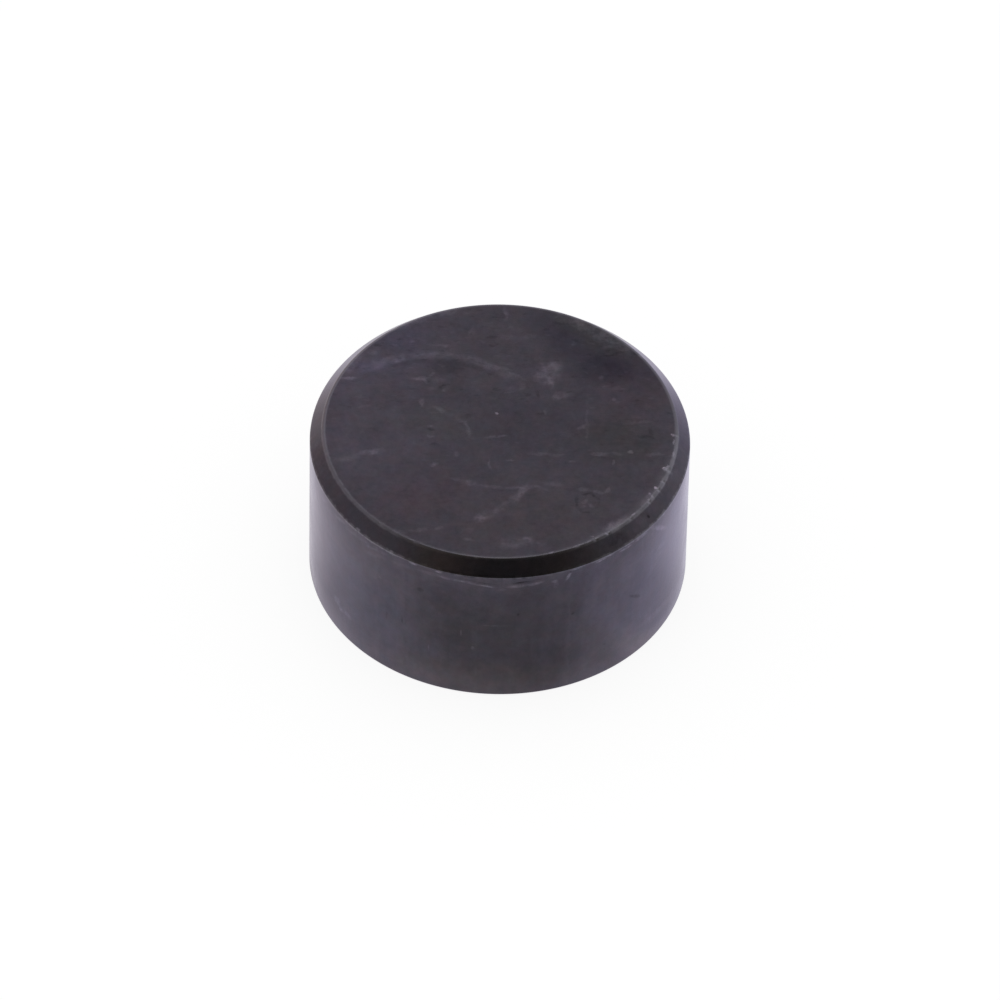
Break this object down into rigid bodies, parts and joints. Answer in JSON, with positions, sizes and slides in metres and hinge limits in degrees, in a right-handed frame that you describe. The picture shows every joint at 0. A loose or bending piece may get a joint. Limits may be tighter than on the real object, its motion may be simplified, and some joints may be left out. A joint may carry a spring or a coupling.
{
  "type": "valve shim",
  "caption": "Small solid steel disc with a bevelled upper edge, placed between a valve stem and its cam follower to set the valve clearance.",
  "frame": {"origin": "centre of the underside, the face that the disc lies on", "axes": "+Z along the disc's axis, towards the bevelled upper face; +X and +Y lie in the underside and are alike, because the disc is round. In the picture's view, +X is to the right and +Y points away from the camera"},
  "size_m": [0.0074, 0.0074, 0.0036],
  "materials": {
    "black_oxide_steel": "lapped steel with a dark oxide film, semi-gloss, fine scratches and a rubbed rim"
  },
  "bodies": {
    "root": {"shim_disc": "black_oxide_steel"}
  },
  "joints": []
}
